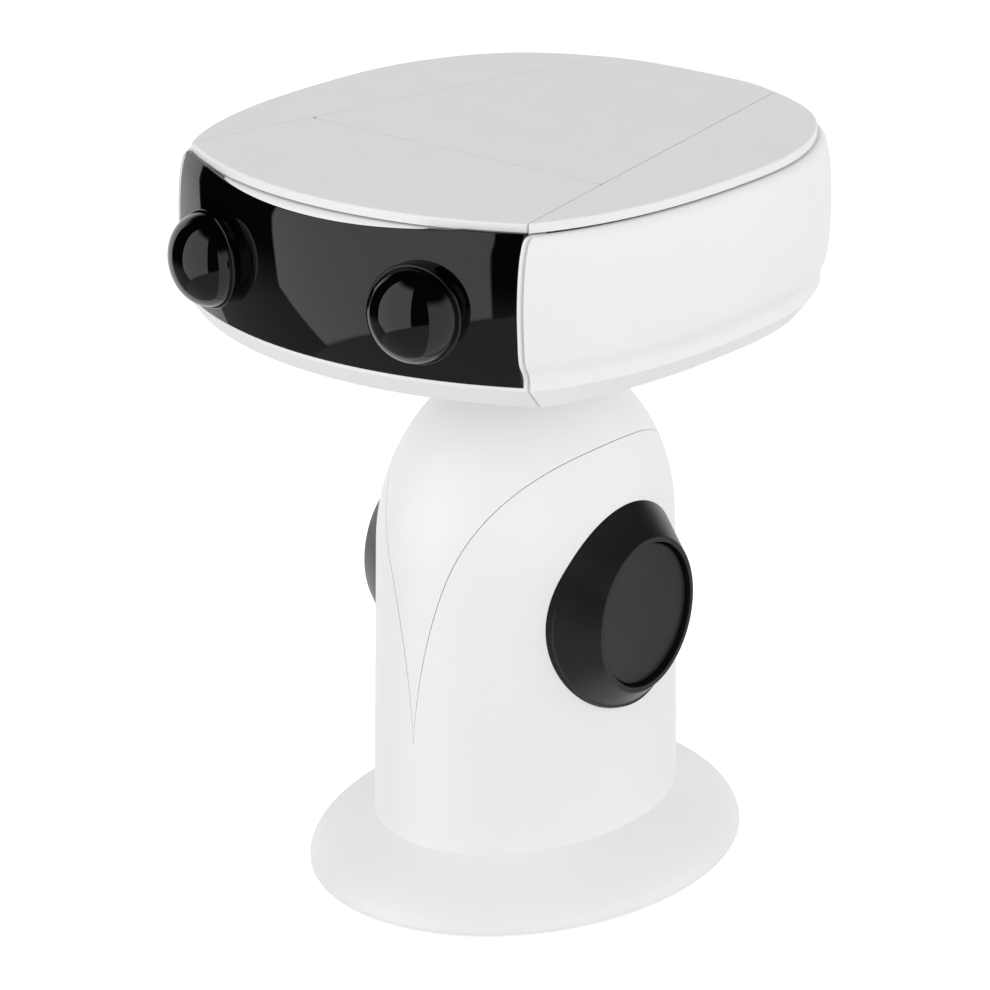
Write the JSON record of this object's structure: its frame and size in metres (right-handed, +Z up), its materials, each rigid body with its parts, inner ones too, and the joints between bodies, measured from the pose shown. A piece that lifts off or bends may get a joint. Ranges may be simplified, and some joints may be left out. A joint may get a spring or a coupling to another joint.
{
  "type": "desktop robot",
  "caption": "Desktop robot with a pan and tilt stereo camera head, gloss black visor, domed pillar body, oval side buttons and a flared oval base.",
  "frame": {"origin": "centre of the anti-slip pad on the underside, on the body's vertical axis", "axes": "+Z up, the face looks along -Y, +X to the right of someone facing the robot"},
  "size_m": [0.2182, 0.2501, 0.2996],
  "materials": {
    "shell_white": "fine satin moulded plastic",
    "gloss_black": "high gloss, smoked",
    "satin_black": "satin moulded plastic",
    "lens_black": "high gloss smoked dome",
    "rubber": "matte anti-slip rubber",
    "steel": "plain steel",
    "frame_grey": "glass-filled moulded frame",
    "board_green": "solder mask",
    "bronze": "sintered bronze",
    "battery_blue": "shrink sleeve"
  },
  "bodies": {
    "base": {"base_shell": "shell_white", "base_cover": "frame_grey", "foot_pad": "rubber", "base_screws": "steel", "base_ballast": "steel", "body_shell": "shell_white", "top_cover": "shell_white", "chassis_column": "frame_grey", "pan_motor": "steel", "bearing_cup": "frame_grey", "pan_bearing": "steel", "usb_inlet": "steel", "inlet_board": "board_green", "button_bezel_right": "satin_black", "button_bezel_left": "satin_black", "switch_board_right": "board_green", "switch_board_left": "board_green"},
    "neck": {"pan_shaft": "steel", "neck_post": "shell_white", "tilt_yoke": "steel", "yoke_screws": "steel", "tilt_axle": "steel"},
    "head": {"visor": "gloss_black", "front_bezel": "shell_white", "side_cover_right": "shell_white", "side_cover_left": "shell_white", "rear_cover": "shell_white", "head_floor": "shell_white", "floor_screws": "steel", "head_frame": "frame_grey", "tilt_bushes": "bronze", "tilt_servo": "satin_black", "lid_carrier": "frame_grey", "lid_front": "shell_white", "lid_rear": "shell_white", "lid_side_right": "shell_white", "lid_side_left": "shell_white", "eye_collar_right": "gloss_black", "eye_collar_left": "gloss_black", "eye_dome_right": "lens_black", "eye_dome_left": "lens_black", "camera_right": "satin_black", "camera_left": "satin_black", "main_board": "board_green", "battery_pack": "battery_blue"},
    "button_right": {"button_cap_right": "satin_black", "button_clip_right": "steel", "button_spring_right": "steel"},
    "button_left": {"button_cap_left": "satin_black", "button_clip_left": "steel", "button_spring_left": "steel"}
  },
  "joints": [
    {"name": "head_pan", "type": "hinge", "parent": "base", "child": "neck", "pos_m": [0, 0, 0.205], "axis": [0, 0, 1], "range_deg": [-90, 90]},
    {"name": "head_tilt", "type": "hinge", "parent": "neck", "child": "head", "pos_m": [0, 0, 0.248], "axis": [1, 0, 0], "range_deg": [-12, 12]},
    {"name": "button_right_press", "type": "slide", "parent": "base", "child": "button_right", "axis": [-1, 0, 0], "range_m": [0, 0.002], "stiffness_N_per_m": 900, "springref_m": -0.001},
    {"name": "button_left_press", "type": "slide", "parent": "base", "child": "button_left", "axis": [1, 0, 0], "range_m": [0, 0.002], "stiffness_N_per_m": 900, "springref_m": -0.001}
  ]
}
